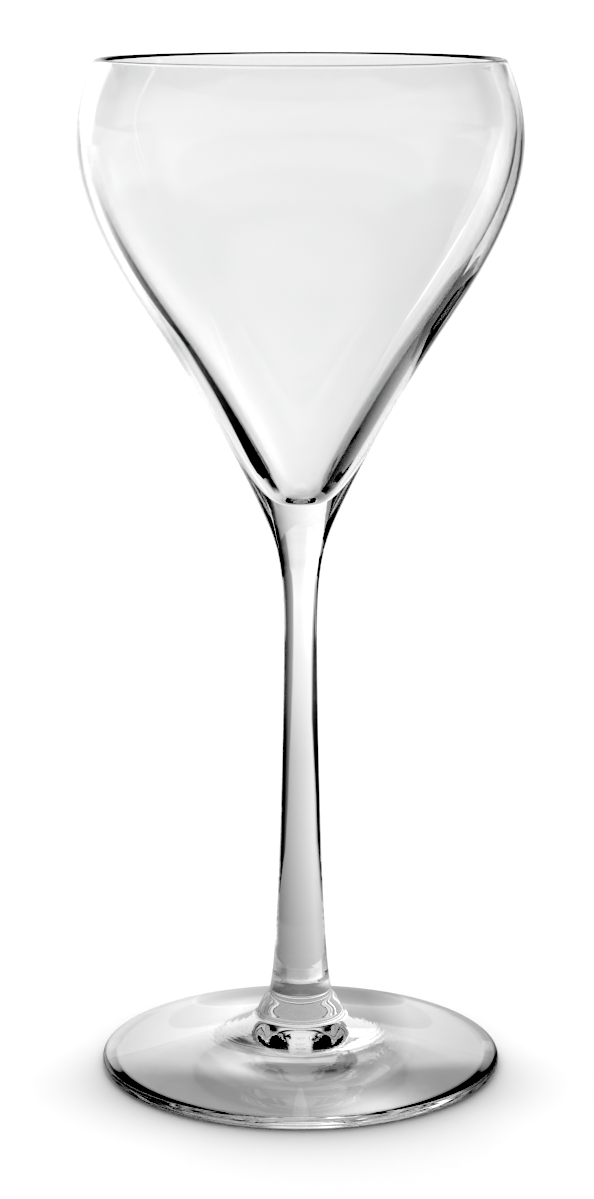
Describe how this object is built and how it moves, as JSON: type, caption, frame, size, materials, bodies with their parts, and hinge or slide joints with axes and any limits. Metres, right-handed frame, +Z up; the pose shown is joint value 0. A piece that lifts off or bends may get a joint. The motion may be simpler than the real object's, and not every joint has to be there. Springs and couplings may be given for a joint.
{
  "type": "sherry glass",
  "caption": "Small stemmed sherry glass in clear glass: conical bowl with a rounded shoulder and incurved mouth, slim solid stem, round foot with a boss.",
  "frame": {"origin": "on the glass's axis, in the plane of the flat ring that the foot stands on", "axes": "+Z up along the axis towards the mouth; the glass is round about Z, so X and Y are free, and the pictured side faces -Y"},
  "size_m": [0.064, 0.064, 0.15],
  "materials": {
    "bowl_glass": "clear, blown, fire-polished at the lip",
    "stem_glass": "clear, drawn, fire-polished",
    "foot_glass": "clear, pressed and spun, faint ripples"
  },
  "bodies": {
    "root": {"bowl": "bowl_glass", "stem": "stem_glass", "foot": "foot_glass"}
  },
  "joints": []
}
